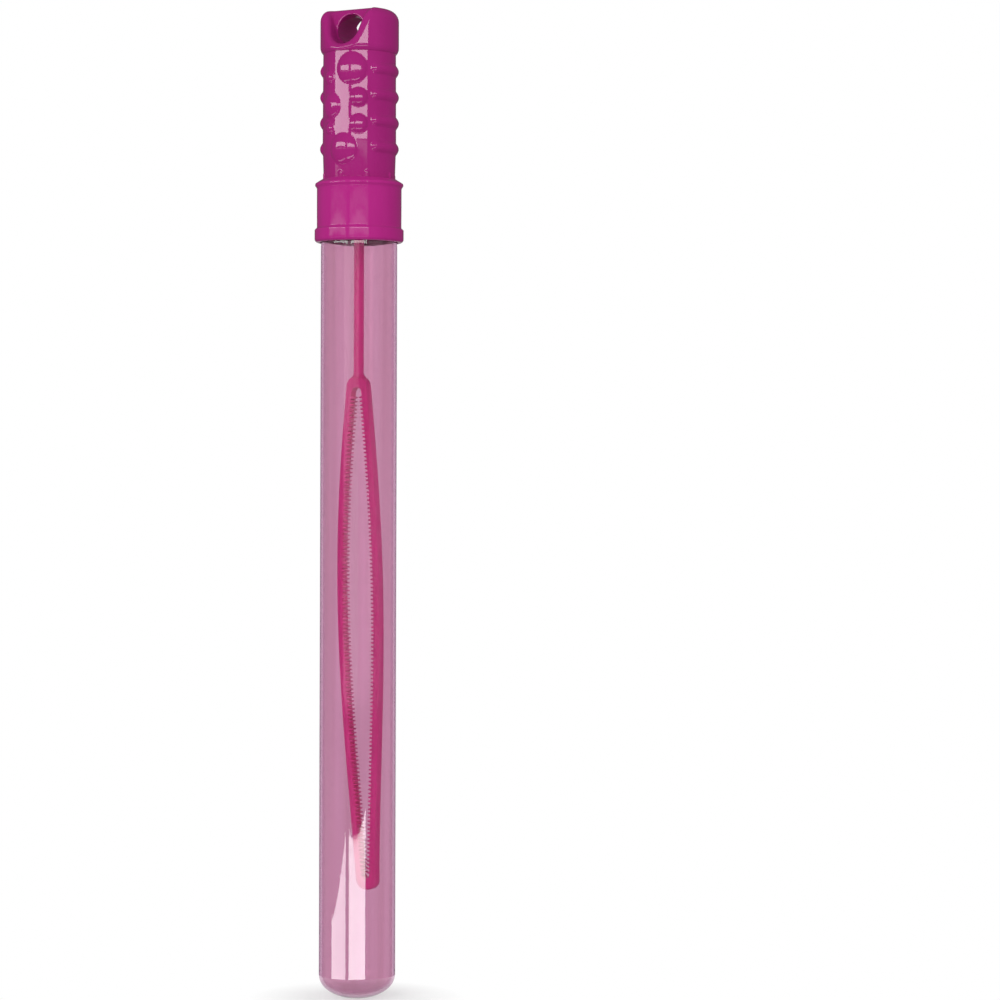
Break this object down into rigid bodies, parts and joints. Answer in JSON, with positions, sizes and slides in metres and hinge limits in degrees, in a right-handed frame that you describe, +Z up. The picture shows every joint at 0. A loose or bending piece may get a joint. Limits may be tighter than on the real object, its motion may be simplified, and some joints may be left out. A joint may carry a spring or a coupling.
{
  "type": "bubble wand",
  "caption": "Tall bubble wand: a clear round-ended tube for bubble solution, closed by a screw cap with a ribbed grip and hanging eye, from which a long toothed loop hangs into the tube.",
  "frame": {"origin": "lowest point of the tube's rounded end, on the tube's axis", "axes": "+Z up along the tube towards the handle; Y along the hanging eye; X through the finger ribs, and the loop lies in the XZ plane"},
  "size_m": [0.0334, 0.0334, 0.37],
  "materials": {
    "clear_tube": "clear tinted blow-moulded plastic, smooth and glossy",
    "washer_foam": "matte closed-cell liner",
    "wand_plastic": "glossy injection-moulded plastic, self-coloured",
    "cap_plastic": "glossy injection-moulded plastic, self-coloured"
  },
  "bodies": {
    "tube": {"tube": "clear_tube"},
    "washer": {"sealing_washer": "washer_foam"},
    "wand": {"wand": "wand_plastic"},
    "cap": {"handle_cap": "cap_plastic"}
  },
  "joints": [
    {"name": "wand_pull", "type": "slide", "parent": "tube", "child": "washer", "axis": [0, 0, 1], "range_m": [0, 0.28]},
    {"name": "cap_lift", "type": "slide", "parent": "washer", "child": "wand", "axis": [0, 0, 1], "range_m": [0, 0.0045]},
    {"name": "cap_twist", "type": "hinge", "parent": "wand", "child": "cap", "pos_m": [0, 0, 0.295], "axis": [0, 0, 1], "range_deg": [0, 540]}
  ],
  "couplings": [
    {"joint": "cap_lift", "follows": "cap_twist", "m_per_rad": 0.00047746}
  ]
}
